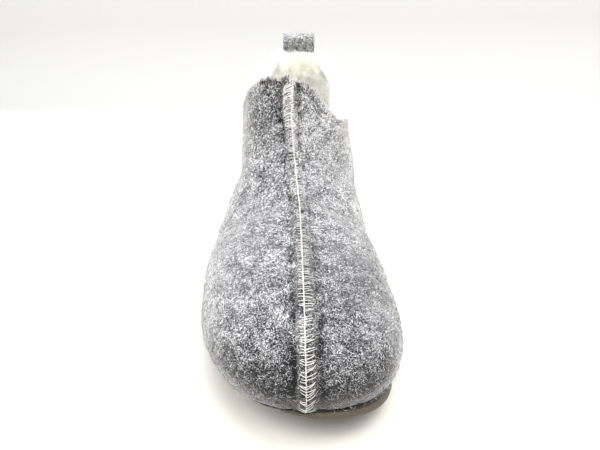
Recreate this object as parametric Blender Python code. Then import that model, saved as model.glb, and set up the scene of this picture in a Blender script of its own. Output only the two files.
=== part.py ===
"""Slipper boot for the right foot, standing on its sole.

A felt upper is wrapped round the foot and closed by one raised seam down the front. It sits on a rubber
outsole, holds a loose insole and carries a felt pull loop over the back of its collar.

The toe points along -Y, the medial (big toe) side is +X and the floor is Z = 0. Sizes are in millimetres
and the meshes in metres: MM converts one into the other.
"""

import bmesh
import bpy
import numpy as np

MM = 0.001

# Driving dimensions
LENGTH = 262.0  # toe tip to heel back, over the felt
BALL_HALF_WIDTH = 47.8
BALL_FROM_TOE = 88.0
HEEL_ROUND = 40.0  # length of the rounded heel in plan
FELT = 3.0  # wall of the upper
GAP = 0.3  # room between pieces that meet

# Shape of the last
TOE_SQUARENESS_MEDIAL = 3.1  # superellipse power of the toe in plan, fuller at the big toe
TOE_SQUARENESS_LATERAL = 2.45
HEEL_SQUARENESS = 2.2
ARCH_SQUARENESS_MEDIAL = 1.88  # power of the arch over the foot in cross section
ARCH_SQUARENESS_LATERAL = 2.1
LEG_ARCH_SQUARENESS = 1.75  # the front of the leg is more of a keel, where the seam draws the felt together
FEATHER_TUCK = 0.11  # share of the half width lost between the widest level and the sole
NOSE_LENGTH = 45.0  # rounded front of the toe box, seen from the side
NOSE_SQUARENESS = 2.3
VAMP_START = 47.4  # height of the vamp line produced to the toe tip
VAMP_SLOPE = 0.24
THROAT_FROM_TOE = 133.5  # front of the collar
THROAT_RISE = 53.7  # how far the front of the leg stands above the vamp line there
THROAT_SPREAD = 15.5  # length over which the vamp bends up into the leg
LEG_CENTRE = 195.0  # middle of the leg, from the toe
LEG_REACH = 85.0  # leg oval, from its middle forward
LEG_SQUARENESS = 2.3
LEG_START, LEG_FULL = 45.0, 105.0  # heights between which the foot becomes the leg

# Cross sections of the foot, one row each
SECTION_COLUMNS = ("from_toe", "half_width", "centre_x", "ridge_x", "widest_z", "feather_z")
SECTIONS = (
    (0.0, BALL_HALF_WIDTH, 4.4, 4.4, 28.0, 17.0),  # toe tip
    (30.0, BALL_HALF_WIDTH, 2.2, 3.2, 26.5, 10.5),  # toe box
    (60.0, BALL_HALF_WIDTH, -0.6, 2.0, 26.0, 8.0),  # little toe
    (BALL_FROM_TOE, BALL_HALF_WIDTH, -3.3, 0.6, 26.0, 8.0),  # inner ball
    (107.0, 46.4, -4.4, -1.4, 27.0, 8.4),  # outer ball
    (132.0, 43.8, -3.4, -5.6, 29.0, 9.4),  # throat
    (152.0, 41.1, -2.1, -5.0, 31.0, 10.8),  # waist
    (190.0, 36.8, -1.6, -1.6, 35.0, 13.0),  # ankle
    (225.0, 36.0, 0.0, 0.0, 36.0, 14.0),  # heel
    (LENGTH, 36.0, 0.0, 0.0, 36.0, 14.5),  # heel back
)

# How far the toe and the heel draw in from the full length at each height
TOE_PROFILE_COLUMNS = ("z", "setback")
TOE_PROFILE = (
    (13.0, 5.6),
    (17.0, 3.2),
    (21.0, 1.3),
    (25.0, 0.3),
    (28.0, 0.0),
    (31.0, 0.0),
    (60.0, 0.0),
)
HEEL_PROFILE_COLUMNS = ("z", "setback")
HEEL_PROFILE = (
    (10.0, 5.2),
    (14.5, 3.6),
    (24.0, 1.0),
    (36.0, 0.0),
    (62.0, 0.8),
    (92.0, 4.2),
    (116.0, 6.0),
    (150.0, 4.6),
)

# Half width of the leg at each height: it leans to the outer side, where the collar draws it in
LEG_COLUMNS = ("z", "lateral", "medial")
LEG_WIDTHS = (
    (60.0, 36.5, 37.8),
    (80.0, 36.5, 36.4),
    (92.0, 36.5, 34.5),
    (112.0, 36.5, 33.2),
    (150.0, 36.5, 33.0),
)

# Top line of the collar on each side, from the front peak by the side notch to the heel
COLLAR_COLUMNS = ("from_toe", "lateral_z", "medial_z")
COLLAR = (
    (THROAT_FROM_TOE, 132.0, 132.0),
    (136.5, 132.6, 130.0),
    (139.0, 132.2, 124.5),
    (141.0, 131.4, 117.5),
    (144.0, 129.6, 112.2),
    (150.0, 125.4, 109.8),
    (158.0, 119.4, 109.2),
    (170.0, 112.6, 110.4),
    (190.0, 114.4, 115.4),
    (215.0, 123.2, 123.6),
    (240.0, 135.2, 135.2),
    (257.4, 148.5, 148.5),
)

# Raised seam down the front
SEAM_HEIGHT = 1.3
SEAM_CROWN = 2.4  # half width of its flat top, along the felt
SEAM_FOOT = 4.2  # half width where it meets the felt

# Outsole
# Side of the sole from its top to the floor: share of its height there, and how far it is drawn in
SOLE_SIDE = ((1.0, 0.8), (0.6, 0.0), (0.25, 0.44), (0.0, 2.2))
SOLE_FLANGE = 0.8  # how far the sole stands out past the foot of the felt
SOLE_TOE_MEDIAL, SOLE_TOE_LATERAL = 1.6, 5.0  # how far each edge moves towards the big toe at the tip
SOLE_TOE_UNDERCUT = 6.0  # how far the tread's outer edge is drawn in below the toe
UNDERCUT_LIMIT = 0.35  # and the most of the half width that this takes at the tip
TOE_SPRING, TOE_SPRING_START, TOE_SPRING_POWER = 14.2, 62.0, 1.8
ARCH_RISE, ARCH_FROM, ARCH_TO = 2.6, 128.0, 192.0
HEEL_BEVEL, HEEL_BEVEL_LENGTH = 1.6, 12.0
TREAD_DEPTH, TREAD_TOP, TREAD_FLOOR = 1.0, 2.6, 1.8  # a groove: depth, width at the tread and at its floor
TREAD_PITCH = 11.0
TREAD_MARGIN = 7.0  # plain border between the grooves and the edge
TREAD_FIELDS = ((56.0, 124.0), (200.0, 247.0))  # forefoot and heel
SOLE_END = 50.0  # length of each round end, where the stations lie closer
WAIST_FROM, WAIST_TO, WAIST_STEP = 132.0, 195.0, 10.0  # stations between the two fields

# Insole
INSOLE_THICKNESS = 4.0
INSOLE_CLEARANCE = 0.4
INSOLE_EDGE = 1.0  # bevel round its top edge
INSOLE_END_GATHER = 1.7  # how much closer its stations lie at the ends

# Pull loop
LOOP_WIDTH = 24.8
LOOP_SHIFT = -2.2  # sideways from the middle of the heel
LOOP_STRIP = 2.7
LOOP_BACK_LEG, LOOP_FRONT_LEG = 26.0, 16.0  # how far each end runs down from the collar
LOOP_TOP = 165.0
LOOP_SPREAD = 6.2  # half the loop's depth at its widest, to the middle of the strip
LOOP_WIDEST_SHARE = 0.6  # where it is widest, between collar and top
LOOP_SWELL = (0.3, 0.6, 0.85)  # points between the collar and the widest level
LOOP_INNER_BEND = 1.12  # the strip bends more inside the collar, where the round is smaller

# Mesh density
RING_COLUMNS = 24  # columns from seam to heel on each side, past those of the seam
RING_ROWS = 28
ROW_GATHER = 0.4  # how much closer the rows lie at the sole than at the collar
SOLE_END_STATIONS = 11
INSOLE_END_STATIONS = 15
LOOP_COLUMNS = 7
LOOP_TURN_POINTS = 13
LOOP_LEG_POINTS = 6
FIRST_STATION = 0.06  # share of a round end that its first station stands in from the tip
SAMPLES = 400
SHARP_ANGLE = 40.0  # degrees between faces, past which an edge shows as sharp

# Colours, linear red, green and blue
FELT_COLOUR = (0.33, 0.33, 0.335)
RUBBER_COLOUR = (0.16, 0.145, 0.13)
FLEECE_COLOUR = (0.80, 0.77, 0.66)


def smooth(table, columns, name, at):
    """One column of a table at the given places of its first column, on a smooth curve through the rows."""
    rows = np.array(table, float)
    xs = rows[:, 0]
    ys = rows[:, columns.index(name)]
    slopes = np.gradient(ys, xs)
    at = np.clip(np.asarray(at, float), xs[0], xs[-1])
    i = np.clip(np.searchsorted(xs, at, side="right") - 1, 0, len(xs) - 2)
    span = xs[i + 1] - xs[i]
    t = (at - xs[i]) / span
    start = ys[i] * (1 + 2 * t) * (1 - t) ** 2 + slopes[i] * span * t * (1 - t) ** 2
    end = ys[i + 1] * t**2 * (3 - 2 * t) + slopes[i + 1] * span * t**2 * (t - 1)
    return start + end


def section(name, from_toe):
    return smooth(SECTIONS, SECTION_COLUMNS, name, from_toe)


def toe_setback(z):
    return smooth(TOE_PROFILE, TOE_PROFILE_COLUMNS, "setback", z)


def heel_setback(z):
    return smooth(HEEL_PROFILE, HEEL_PROFILE_COLUMNS, "setback", z)


def foot_ends():
    """Where the foot of the felt starts at the toe and ends at the heel, from the toe tip."""
    front, back = 0.0, LENGTH
    for _ in range(20):
        front = toe_setback(section("feather_z", front))
        back = LENGTH - heel_setback(section("feather_z", back))
    return front, back


def rounded(share, power):
    """Superellipse quarter: 0 at share 0, 1 at share 1, with a round end."""
    share = np.clip(share, 0.0, 1.0)
    return (1 - (1 - share) ** power) ** (1 / power)


def ease(t):
    t = np.clip(t, 0.0, 1.0)
    return t * t * (3 - 2 * t)


def ridge_z(from_toe):
    """Height of the seam line over the foot and up the front of the leg."""
    from_toe = np.asarray(from_toe, float)
    vamp = VAMP_START + VAMP_SLOPE * from_toe
    leg = THROAT_RISE * np.exp((from_toe - THROAT_FROM_TOE) / THROAT_SPREAD)
    nose = section("widest_z", 0.0)
    return nose + (vamp + leg - nose) * rounded(from_toe / NOSE_LENGTH, NOSE_SQUARENESS)


def leg_share(z):
    """0 on the foot, 1 on the leg."""
    return ease((z - LEG_START) / (LEG_FULL - LEG_START))


def plan_half_width(side, from_toe, z):
    """Half width in plan at the widest level, with the toe and heel ends moved to where they are at z."""
    toe_squareness = TOE_SQUARENESS_MEDIAL if side > 0 else TOE_SQUARENESS_LATERAL
    front = toe_setback(z)
    back = LENGTH - heel_setback(z)
    along = (from_toe - front) / (back - front) * LENGTH
    ends = rounded(along / BALL_FROM_TOE, toe_squareness)
    ends = ends * rounded((LENGTH - along) / HEEL_ROUND, HEEL_SQUARENESS)
    leg = smooth(LEG_WIDTHS, LEG_COLUMNS, "medial" if side > 0 else "lateral", z)
    leg = leg * rounded((along - LEG_CENTRE + LEG_REACH) / LEG_REACH, LEG_SQUARENESS)
    share = leg_share(z)
    return ends * (section("half_width", along) * (1 - share) + leg * share)


def felt_x(side, from_toe, z):
    """Where the felt's outer face is at a place in the side view: side is 1 for medial and -1 for lateral."""
    widest = section("widest_z", from_toe)
    feather = section("feather_z", from_toe)
    up = np.clip((z - widest) / np.maximum(ridge_z(from_toe) - widest, 1e-6), 0.0, 1.0)
    down = np.clip((widest - z) / (widest - feather), 0.0, None)
    foot_power = ARCH_SQUARENESS_MEDIAL if side > 0 else ARCH_SQUARENESS_LATERAL
    power = foot_power + (LEG_ARCH_SQUARENESS - foot_power) * leg_share(z)
    arch = (1 - up**power) ** (1 / power)
    half = plan_half_width(side, from_toe, z) * arch * (1 - FEATHER_TUCK * down**2)
    centre = section("centre_x", from_toe) * (1 - up) + section("ridge_x", from_toe) * up
    return centre + side * half


def by_arc_length(points, places):
    """Points on a polyline at the given distances along it."""
    steps = np.linalg.norm(np.diff(points, axis=0), axis=1)
    along = np.concatenate([[0.0], np.cumsum(steps)])
    return np.stack([np.interp(places, along, points[:, k]) for k in range(points.shape[1])], axis=1)


def arc_length(points):
    return np.linalg.norm(np.diff(points, axis=0), axis=1).sum()


def front_line():
    """Side view of the seam line, from the foot of the toe to the front of the collar."""
    foot = section("feather_z", foot_ends()[0])
    nose = np.linspace(foot, section("widest_z", 0.0), SAMPLES)
    toe = np.stack([toe_setback(nose), nose], axis=1)
    from_toe = THROAT_FROM_TOE * np.linspace(0.0, 1.0, SAMPLES) ** 3
    return np.concatenate([toe, np.stack([from_toe, ridge_z(from_toe)], axis=1)[1:]])


def back_line():
    """Side view of the heel, from its foot to the collar."""
    z = np.linspace(section("feather_z", foot_ends()[1]), COLLAR[-1][1], SAMPLES)
    return np.stack([LENGTH - heel_setback(z), z], axis=1)


def denser_low(count):
    """Shares from 0 to 1, closer together at the start."""
    even = np.linspace(0.0, 1.0, count)
    return even * (1 - ROW_GATHER) + ROW_GATHER * even**2


def side_view_rows(collar_side):
    """Rows of the felt in the side view, as (row, sample, (from_toe, z)), from the sole up to the collar."""
    u = (1 - np.cos(np.linspace(0.0, np.pi, SAMPLES))) / 2
    shares = denser_low(RING_ROWS + 1)
    front = by_arc_length(front_line(), shares * arc_length(front_line()))
    back = by_arc_length(back_line(), shares * arc_length(back_line()))
    bottom_at = front[0, 0] + u * (back[0, 0] - front[0, 0])
    bottom = np.stack([bottom_at, section("feather_z", bottom_at)], axis=1)
    bottom[0], bottom[-1] = front[0], back[0]
    top_at = front[-1, 0] + u * (back[-1, 0] - front[-1, 0])
    top = np.stack([top_at, smooth(COLLAR, COLLAR_COLUMNS, collar_side, top_at)], axis=1)
    top[0], top[-1] = front[-1], back[-1]
    rows = []
    for row in range(RING_ROWS + 1):
        v = shares[row]
        across = (1 - v) * bottom + v * top
        along = np.outer(1 - u, front[row]) + np.outer(u, back[row])
        low_corners = (1 - v) * (np.outer(1 - u, front[0]) + np.outer(u, back[0]))
        high_corners = v * (np.outer(1 - u, front[-1]) + np.outer(u, back[-1]))
        rows.append(across + along - low_corners - high_corners)
    return np.array(rows)


def felt_half(side, collar_side):
    """Outer face of one side of the upper, as (row, column, xyz), with columns from the seam to the heel."""
    rows = []
    for path in side_view_rows(collar_side):
        ring = np.stack([felt_x(side, path[:, 0], path[:, 1]), path[:, 0] - LENGTH / 2, path[:, 1]], axis=1)
        ring[0, 0] = section("ridge_x", path[0, 0])
        ring[-1, 0] = section("ridge_x", path[-1, 0])
        past_seam = np.linspace(SEAM_FOOT, arc_length(ring), RING_COLUMNS + 1)
        rows.append(by_arc_length(ring, np.concatenate([[0.0, SEAM_CROWN], past_seam])))
    return np.array(rows)


def felt_rings():
    """Outer face of the upper as closed rings, each from the seam by the medial side and the heel to it."""
    medial = felt_half(1, "medial_z")
    lateral = felt_half(-1, "lateral_z")
    return np.concatenate([medial, lateral[:, -2:0:-1]], axis=1)


def outward(rings):
    """Unit normals of a stack of closed rings that run anticlockwise from above."""
    around = np.roll(rings, -1, axis=1) - np.roll(rings, 1, axis=1)
    up = np.gradient(rings, axis=0)
    normals = np.cross(around, up)
    return normals / np.linalg.norm(normals, axis=2, keepdims=True)


def new_object(name, mesh_data, material):
    mesh = bpy.data.meshes.new(name)
    bmesh.ops.recalc_face_normals(mesh_data, faces=mesh_data.faces)
    mesh_data.to_mesh(mesh)
    mesh_data.free()
    mesh.materials.append(material)
    mesh.shade_smooth()
    mesh.set_sharp_from_angle(angle=np.radians(SHARP_ANGLE))
    obj = bpy.data.objects.new(name, mesh)
    bpy.context.scene.collection.objects.link(obj)
    return obj


def loft(rings, wrap):
    """A closed skin through rings of points in millimetres, wrapped round on itself or capped at its ends."""
    made = bmesh.new()
    loops = [[made.verts.new(point * MM) for point in ring] for ring in rings]
    pairs = list(zip(loops, loops[1:] + loops[:1])) if wrap else list(zip(loops, loops[1:]))
    for low, high in pairs:
        for i in range(len(low)):
            j = (i + 1) % len(low)
            made.faces.new((low[i], low[j], high[j], high[i]))
    if not wrap:
        made.faces.new(loops[0])
        made.faces.new(loops[-1])
    return made


def material(name, colour, roughness):
    made = bpy.data.materials.new(name)
    made.use_nodes = True
    shader = made.node_tree.nodes["Principled BSDF"]
    shader.inputs["Base Color"].default_value = (*colour, 1.0)
    shader.inputs["Roughness"].default_value = roughness
    shader.inputs["Metallic"].default_value = 0.0
    return made


def make_upper(felt):
    outer = felt_rings()
    normals = outward(outer)
    inner = outer - FELT * normals
    inner[0, :, 2] = outer[0, :, 2]
    seam = (-1, 0, 1)
    outer[1:, seam] += SEAM_HEIGHT * normals[1:, seam]
    outer[0, seam, :2] += SEAM_HEIGHT * normals[0, seam, :2]
    return new_object("upper", loft(list(outer) + list(inner[::-1]), wrap=True), felt)


def bottom_z(from_toe):
    """Underside of the sole: flat at forefoot and heel, with toe spring, arch and a bevelled heel."""
    toe = TOE_SPRING * np.clip((TOE_SPRING_START - from_toe) / TOE_SPRING_START, 0, 1) ** TOE_SPRING_POWER
    middle = (from_toe - ARCH_FROM) / (ARCH_TO - ARCH_FROM)
    arch = ARCH_RISE * np.sin(np.pi * np.clip(middle, 0, 1)) ** 2
    heel = HEEL_BEVEL * ease((from_toe - LENGTH + HEEL_BEVEL_LENGTH) / HEEL_BEVEL_LENGTH)
    return toe + arch + heel


def foot_outline(from_toe):
    """(lateral x, medial x) of the foot of the felt, where it stands on the sole."""
    foot = section("feather_z", from_toe)
    return felt_x(-1, from_toe, foot), felt_x(1, from_toe, foot)


def tread_grooves():
    """Middle of each groove across the tread."""
    places = []
    for start, end in TREAD_FIELDS:
        count = int((end - start) // TREAD_PITCH) + 1
        places += [start + k * TREAD_PITCH for k in range(count)]
    return places


def sole_stations():
    """(place along the sole, depth of tread there), close together at the round ends and at each groove."""
    ends = SOLE_END * np.linspace(FIRST_STATION, 1.0, SOLE_END_STATIONS) ** 2
    plain = list(ends) + list(LENGTH - ends) + list(np.arange(WAIST_FROM, WAIST_TO, WAIST_STEP))
    stations = [(place, 0.0) for place in plain]
    for groove in tread_grooves():
        stations += [(groove + side * TREAD_TOP / 2, 0.0) for side in (-1, 1)]
        stations += [(groove + side * TREAD_FLOOR / 2, TREAD_DEPTH) for side in (-1, 1)]
    return sorted(stations)


def make_outsole(rubber):
    rings = []
    foot_front, foot_back = foot_ends()
    front, back = foot_front - SOLE_FLANGE, foot_back + SOLE_FLANGE
    for place, depth in sole_stations():
        at = front + (back - front) * place / LENGTH
        lateral, medial = foot_outline(foot_front + (foot_back - foot_front) * place / LENGTH)
        towards_tip = ease((BALL_FROM_TOE - at) / BALL_FROM_TOE)
        lateral += SOLE_TOE_LATERAL * towards_tip - SOLE_FLANGE
        medial += SOLE_TOE_MEDIAL * towards_tip + SOLE_FLANGE
        half, centre = (medial - lateral) / 2, (medial + lateral) / 2
        top = section("feather_z", np.clip(at, foot_front, foot_back)) - GAP
        bottom = bottom_z(at)
        right = [(half - drawn_in, bottom + share * (top - bottom)) for share, drawn_in in SOLE_SIDE]
        land = max(half - TREAD_MARGIN, right[-1][0] / 2)
        groove = max(land - TREAD_DEPTH, land / 2)
        floor = bottom + depth if half > 2 * TREAD_MARGIN else bottom
        right += [(land, bottom), (groove, floor)]
        undercut = min(SOLE_TOE_UNDERCUT * towards_tip, UNDERCUT_LIMIT * half)
        left = [(undercut * (top - z) / (top - bottom) - x, z) for x, z in reversed(right)]
        loop = right + [((left[0][0] + groove) / 2, floor)] + left + [(0.0, top)]
        rings.append(np.array([(centre + x, at - LENGTH / 2, z) for x, z in loop], float))
    return new_object("outsole", loft(rings, wrap=False), rubber)


def make_insole(fleece):
    rings = []
    reach = FELT + INSOLE_CLEARANCE
    foot_front, foot_back = foot_ends()
    front, back = foot_front + reach, foot_back - reach
    ends = np.linspace(FIRST_STATION, 1.0, INSOLE_END_STATIONS) ** INSOLE_END_GATHER / 2
    for share in np.concatenate([ends, 1 - ends[-2::-1]]):
        at = front + (back - front) * share
        outward_at = np.clip(at + reach * (2 * share - 1), foot_front + 0.5, foot_back - 0.5)
        lateral, medial = foot_outline(outward_at)
        half = max((medial - lateral) / 2 - reach, 1.0)
        centre = (medial + lateral) / 2
        low = section("feather_z", at)
        high = low + INSOLE_THICKNESS
        bevel = min(INSOLE_EDGE, half / 4)
        loop = [(half, low), (half, high - INSOLE_EDGE), (half - bevel, high), (0.0, high)]
        loop = loop + [(-x, z) for x, z in reversed(loop[:-1])] + [(0.0, low)]
        rings.append(np.array([(centre + x, at - LENGTH / 2, z) for x, z in loop], float))
    return new_object("insole", loft(rings, wrap=False), fleece)


def heel_y(x, z):
    """Where the felt's outer face is behind the heel, x from its middle, by bisection."""
    side = 1 if x > 0 else -1
    near, far = LENGTH - HEEL_ROUND, LENGTH - heel_setback(z)
    for _ in range(40):
        middle = (near + far) / 2
        if side * felt_x(side, middle, z) > abs(x):
            near = middle
        else:
            far = middle
    return (near + far) / 2 - LENGTH / 2


def loop_path():
    """Middle of the folded strip in the side view, as (y, z, which face of the felt it lies on)."""
    collar = COLLAR[-1][1]
    height = LOOP_TOP - LOOP_STRIP / 2 - collar
    widest = collar + LOOP_WIDEST_SHARE * height
    middle = heel_y(0.0, collar) - FELT / 2
    clear = FELT / 2 + GAP + LOOP_STRIP / 2
    path = [(clear, z, 1) for z in np.linspace(collar - LOOP_BACK_LEG, collar, LOOP_LEG_POINTS)]
    rises = np.array(LOOP_SWELL)
    swell = list(zip(clear + (LOOP_SPREAD - clear) * ease(rises), collar + rises * (widest - collar)))
    path += [(y, z, 0) for y, z in swell]
    for turn in np.linspace(0.0, np.pi, LOOP_TURN_POINTS):
        path.append((LOOP_SPREAD * np.cos(turn), widest + (collar + height - widest) * np.sin(turn), 0))
    path += [(-y, z, 0) for y, z in reversed(swell)]
    path += [(-clear, z, -1) for z in np.linspace(collar, collar - LOOP_FRONT_LEG, LOOP_LEG_POINTS)]
    return middle, path


def make_pull_loop(felt):
    middle, path = loop_path()
    line = np.array([(y, z) for y, z, _ in path])
    direction = np.gradient(line, axis=0)
    direction /= np.linalg.norm(direction, axis=1, keepdims=True)
    across = LOOP_SHIFT + np.linspace(-LOOP_WIDTH / 2, LOOP_WIDTH / 2, LOOP_COLUMNS)
    collar = COLLAR[-1][1]
    rings = []
    for (y, z, face), (along_y, along_z) in zip(path, direction):
        level = min(z, collar)
        bend = LOOP_INNER_BEND if face < 0 else 1.0
        bow = np.array([heel_y(x * bend, level) - heel_y(0.0, level) for x in across])
        lean = heel_y(0.0, level) - heel_y(0.0, collar)
        faces = []
        for offset in (LOOP_STRIP / 2, -LOOP_STRIP / 2):
            back = middle + lean + y + along_z * offset
            faces.append([(x, back + dip, z - along_y * offset) for x, dip in zip(across, bow)])
        rings.append(np.array(faces[0] + faces[1][::-1], float))
    return new_object("pull_loop", loft(rings, wrap=False), felt)


def stand_on_origin(objects):
    """Moves the pieces so that the origin is on the floor, below the middle of their box."""
    corners = np.array([vertex.co for obj in objects for vertex in obj.data.vertices])
    low, high = corners.min(axis=0), corners.max(axis=0)
    base = bpy.data.objects.new("boot_base", None)
    bpy.context.scene.collection.objects.link(base)
    base.location = (-(low[0] + high[0]) / 2, -(low[1] + high[1]) / 2, -low[2])
    for obj in objects:
        obj.parent = base


def main():
    for obj in list(bpy.data.objects):
        bpy.data.objects.remove(obj)
    felt = material("grey_felt", FELT_COLOUR, 0.95)
    rubber = material("taupe_rubber", RUBBER_COLOUR, 0.7)
    fleece = material("cream_fleece", FLEECE_COLOUR, 1.0)
    stand_on_origin([make_upper(felt), make_outsole(rubber), make_insole(fleece), make_pull_loop(felt)])


main()
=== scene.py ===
# %% [markdown]
# # A felt slipper boot
# This lesson dresses a right-foot slipper boot: a grey felt upper sewn up the front, a cream fleece lining,
# a felt pull loop at the heel and a thin rubber sole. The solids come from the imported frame, so nothing is
# measured twice: every piece below either copies one of them or is laid on one of them.

# %% Load the frame
from math import radians

import bmesh
import bpy
import numpy as np
from mathutils import Euler, Matrix, Vector, noise
from mathutils.bvhtree import BVHTree
from mathutils.kdtree import KDTree


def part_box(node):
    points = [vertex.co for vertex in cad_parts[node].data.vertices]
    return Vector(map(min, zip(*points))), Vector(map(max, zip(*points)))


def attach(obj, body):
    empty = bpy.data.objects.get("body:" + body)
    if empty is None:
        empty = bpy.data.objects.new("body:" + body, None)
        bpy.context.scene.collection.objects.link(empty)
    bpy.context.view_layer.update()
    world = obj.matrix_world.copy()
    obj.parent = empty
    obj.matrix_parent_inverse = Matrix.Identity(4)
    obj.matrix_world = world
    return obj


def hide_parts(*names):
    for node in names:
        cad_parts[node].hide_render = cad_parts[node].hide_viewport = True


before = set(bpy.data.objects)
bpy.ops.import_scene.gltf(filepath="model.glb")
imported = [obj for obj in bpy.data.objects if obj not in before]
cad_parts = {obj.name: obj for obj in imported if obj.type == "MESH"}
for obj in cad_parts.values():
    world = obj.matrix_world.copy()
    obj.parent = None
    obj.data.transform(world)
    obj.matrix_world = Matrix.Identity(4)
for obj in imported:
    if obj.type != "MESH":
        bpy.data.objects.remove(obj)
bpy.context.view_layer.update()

MM = 0.001

# %% [markdown]
# ## Places on the shoe
# A shoemaker counts from the tip of the toe and from the floor. The toe points along -Y, so the distance
# from the toe is y less the y of the tip. The tip lies under the raised seam, which stands 1.3 mm proud.
# The front seam wanders from the big toe side to the outer side, and a short table says how.

# %% Toe, middle line and front seam
SEAM_HEIGHT = 1.3 * MM
TOE_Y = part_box("upper")[0][1] + SEAM_HEIGHT
LOOP_SHIFT = -2.2 * MM  # the pull loop is sewn on a little to the outer side
LOOP_X = (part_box("pull_loop")[0][0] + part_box("pull_loop")[1][0]) / 2
MIDDLE_X = LOOP_X - LOOP_SHIFT
COLLAR_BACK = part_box("upper")[1][2]
SEAM_LINE = (  # from the toe, sideways from the middle line of the heel
    (0, 4.4),
    (30, 3.2),
    (60, 2.0),
    (88, 0.6),
    (107, -1.4),
    (121, -3.9),
    (133.5, -5.7),
)


def from_toe(y):
    return y - TOE_Y


def seam_x(y):
    places, sideways = np.array(SEAM_LINE).T * MM
    return MIDDLE_X + np.interp(from_toe(y), places, sideways)


print(f"toe tip at y {TOE_Y / MM:.1f} mm, middle line at x {MIDDLE_X / MM:.1f} mm")

# %% [markdown]
# ## Shader sums written as Python
# A material is a web of nodes, and sums of patterns need many Math nodes. This class wraps one output
# socket, so that an expression such as `1 - mask` adds its Math node by itself. `node` makes any other node.


# %% A socket that can be calculated with
class Wire:
    def __init__(self, tree, socket):
        self.tree = tree
        self.socket = socket

    def node(self, kind, settings=None, sockets=None, output=0):
        """A new node: its settings are set first, then its sockets get a value or a link."""
        made = self.tree.nodes.new(kind)
        for name, value in (settings or {}).items():
            setattr(made, name, value)
        for name, value in (sockets or {}).items():
            if isinstance(value, Wire):
                self.tree.links.new(value.socket, made.inputs[name])
            else:
                made.inputs[name].default_value = value
        return Wire(self.tree, made.outputs[output])

    def maths(self, operation, first, second=0.0):
        return self.node("ShaderNodeMath", {"operation": operation}, {0: first, 1: second})

    def __add__(self, other):
        return self.maths("ADD", self, other)

    def __radd__(self, other):
        return self.maths("ADD", other, self)

    def __sub__(self, other):
        return self.maths("SUBTRACT", self, other)

    def __rsub__(self, other):
        return self.maths("SUBTRACT", other, self)

    def __mul__(self, other):
        return self.maths("MULTIPLY", self, other)

    def __rmul__(self, other):
        return self.maths("MULTIPLY", other, self)

    def larger(self, other):
        return self.maths("MAXIMUM", self, other)

    def step(self, low, high):
        """0 below low, 1 above high, and smooth between them."""
        settings = {"interpolation_type": "SMOOTHSTEP"}
        return self.node("ShaderNodeMapRange", settings, {"Value": self, "From Min": low, "From Max": high})

    def mix(self, first, second):
        """One colour where this is 0, another where it is 1."""
        return self.node("ShaderNodeMix", {"data_type": "RGBA"}, {0: self, 6: first, 7: second}, 2)


def new_material(name, roughness):
    """(material, shader, place): an empty finish and the Object coordinates that its patterns read."""
    made = bpy.data.materials.new(name)
    made.use_nodes = True
    shader = made.node_tree.nodes["Principled BSDF"]
    shader.inputs["Roughness"].default_value = roughness
    shader.inputs["Specular IOR Level"].default_value = 0.3
    place = Wire(made.node_tree, None).node("ShaderNodeTexCoord", output="Object")
    return made, shader, place


def connect(shader, name, wire):
    wire.tree.links.new(wire.socket, shader.inputs[name])


def speckle(place, size, detail=2.0, turn=(0, 0, 0), stretch=1.0, shift=0.0):
    """Noise with features of the given size in metres, drawn out along one turned axis."""
    scale = (1 / size, 1 / size, 1 / (size * stretch))
    turned = place.node(
        "ShaderNodeMapping",
        {"vector_type": "TEXTURE"},
        {"Vector": place, "Rotation": Euler([radians(a) for a in turn]), "Location": (shift, shift, shift)},
    )
    sized = place.node("ShaderNodeVectorMath", {"operation": "MULTIPLY"}, {0: turned, 1: scale})
    return place.node("ShaderNodeTexNoise", {}, {"Vector": sized, "Scale": 1.0, "Detail": detail})


def bump(shader, height, distance, strength=1.0):
    made = height.node("ShaderNodeBump", {}, {"Height": height, "Distance": distance, "Strength": strength})
    connect(shader, "Normal", made)


print("shader helpers ready")

# %% [markdown]
# ## Grey wool felt
# Felt is pressed, not woven: white and charcoal fibres lie in every direction, and they clump into soft
# lighter and darker clouds. An image would repeat and lose its scale, so the finish is a sum of noises.
# Each one is drawn out along another axis, which turns its grains into short strokes, as fibres are.
# The strokes are finer on the foot than on the leg, with a ragged change between them. An attribute of the
# mesh, the tone, says where more of the dark fibres show. It carries painted shade and painted light as well
# as the felt's own patches.

# %% Felt finish
FELT_DARK, FELT_MID, FELT_PALE = (0.005, 0.005, 0.007, 1), (0.11, 0.11, 0.115, 1), (0.66, 0.66, 0.675, 1)
STROKES = ((20, 35, 0), (75, -20, 40), (-50, 60, 15), (95, 30, 80), (0, 90, 30), (45, -65, 110))
STROKE_SIZES, STROKE_STRETCH = (0.32 * MM, 0.48 * MM), 2.6  # on the foot and on the leg
STROKE_SHIFT = 13 * MM  # keeps the patterns from lying on each other
CLUMP_SIZE, CLOUD_SIZE = 1.5 * MM, 7 * MM
NOISE_SPAN, CLOUD_SPAN = (0.3, 0.7), (0.32, 0.68)  # most of a noise lies between these
CLUMP_SHIFT = 0.05
LEG_START, LEG_FULL, LEG_RAGGED = 78 * MM, 86 * MM, 40 * MM  # heights
TONE_PULL, CLOUD_PULL, CLUMP_PULL, PLAIN_DEPTH = 0.2, 0.05, 0.06, 0.018
PALE_LIMITS, DARK_LIMITS = (0.65, 0.68), (0.52, 0.55)
FELT_RELIEF, DARK_RELIEF = 0.35 * MM, 0.6  # and the dark strokes' share of it
FELT_SHEEN = {"Weight": 1.0, "Roughness": 0.33, "Tint": (0.95, 0.95, 0.96, 1)}


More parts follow.
